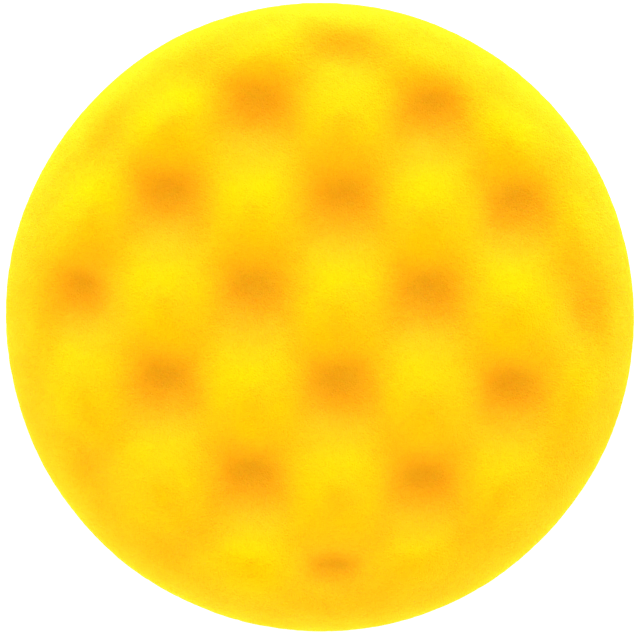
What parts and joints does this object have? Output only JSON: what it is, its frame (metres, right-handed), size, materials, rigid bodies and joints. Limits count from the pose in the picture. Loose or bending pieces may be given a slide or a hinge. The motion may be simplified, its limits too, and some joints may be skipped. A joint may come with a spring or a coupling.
{
  "type": "polishing pad",
  "caption": "Round waffle-faced foam polishing pad for a car polisher, bonded to a loop cloth back that a hook-faced backing plate grips.",
  "frame": {"origin": "centre of the loop cloth's outer face, which the backing plate grips", "axes": "+Z is the pad's spin axis, from the loop cloth towards the waffle face; the waffle's rows run along X, 1.15 degrees off it; +Y is the top of the pad as it is pictured"},
  "size_m": [0.15, 0.15, 0.0271],
  "materials": {
    "foam": "open-cell polyurethane foam, matt, fine pores all over, saturated yellow",
    "bond_film": "clear hot-melt film, seen only as a thin line at the edge",
    "loop_cloth": "brushed knit of fine white loops"
  },
  "bodies": {
    "root": {"loop_cloth": "loop_cloth", "bond_film": "bond_film", "waffle_foam": "foam"}
  },
  "joints": []
}
